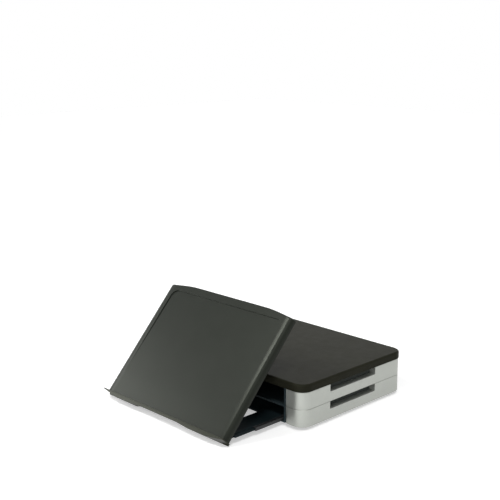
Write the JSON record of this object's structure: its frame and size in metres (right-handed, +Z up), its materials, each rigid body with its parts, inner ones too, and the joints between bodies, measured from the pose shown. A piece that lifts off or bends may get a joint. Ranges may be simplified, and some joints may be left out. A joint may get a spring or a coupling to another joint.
{
  "type": "monitor stand with copyholder",
  "caption": "Monitor stand with a storage slot, grip notches in its side covers and a tilting copyholder panel with a ledge, on a tray that slides out below.",
  "frame": {"origin": "bottom centre of the whole object's box, on the desk under the rubber feet", "axes": "+X to the user's right, +Y away from the user towards the back of the stand, +Z up"},
  "size_m": [0.442, 0.4465, 0.2023],
  "materials": {
    "chassis_black": "moulded, fine grain",
    "cover_silver": "satin silver paint",
    "plate_black": "moulded, fine grain",
    "foot_rubber": "matte",
    "tray_black": "moulded, satin",
    "panel_grey": "moulded, fine grain",
    "slide_black": "black coated sheet steel",
    "hinge_black": "moulded",
    "fastener_steel": "plated",
    "peg_plastic": "moulded"
  },
  "bodies": {
    "stand": {"lower_chassis": "chassis_black", "upper_chassis": "chassis_black", "lower_side_left": "cover_silver", "lower_side_right": "cover_silver", "upper_side_left": "cover_silver", "upper_side_right": "cover_silver", "top_plate": "plate_black", "grip_plates": "chassis_black", "rubber_feet": "foot_rubber", "stacking_pegs": "peg_plastic", "side_screws": "fastener_steel", "plate_screws": "fastener_steel", "runner_left": "slide_black", "runner_right": "slide_black", "runner_rivets": "fastener_steel"},
    "rails": {"slide_rail_left": "slide_black", "slide_rail_right": "slide_black", "rail_cross_tie": "slide_black", "tie_rivets": "fastener_steel"},
    "tray": {"tray_frame": "tray_black", "hinge_bracket_left": "hinge_black", "hinge_bracket_right": "hinge_black", "bracket_screws": "fastener_steel", "hinge_pin_left": "fastener_steel", "hinge_pin_right": "fastener_steel", "pin_clips": "fastener_steel", "friction_washers": "peg_plastic"},
    "copyholder": {"copyholder_panel": "panel_grey", "document_ledge": "panel_grey", "hinge_lug_left": "hinge_black", "hinge_lug_right": "hinge_black", "lug_screws": "fastener_steel", "ledge_screws": "fastener_steel"}
  },
  "joints": [
    {"name": "rail_slide", "type": "slide", "parent": "stand", "child": "rails", "axis": [0, -1, 0], "range_m": [-0.01, 0.06]},
    {"name": "tray_slide", "type": "slide", "parent": "rails", "child": "tray", "axis": [0, -1, 0], "range_m": [-0.015, 0.18]},
    {"name": "panel_fold", "type": "hinge", "parent": "tray", "child": "copyholder", "pos_m": [0, -0.1896, 0.0218], "axis": [1, 0, 0], "range_deg": [-47.6, 4]}
  ],
  "couplings": [
    {"joint": "panel_fold", "follows": "tray_slide", "rad_per_m": -4.615}
  ]
}
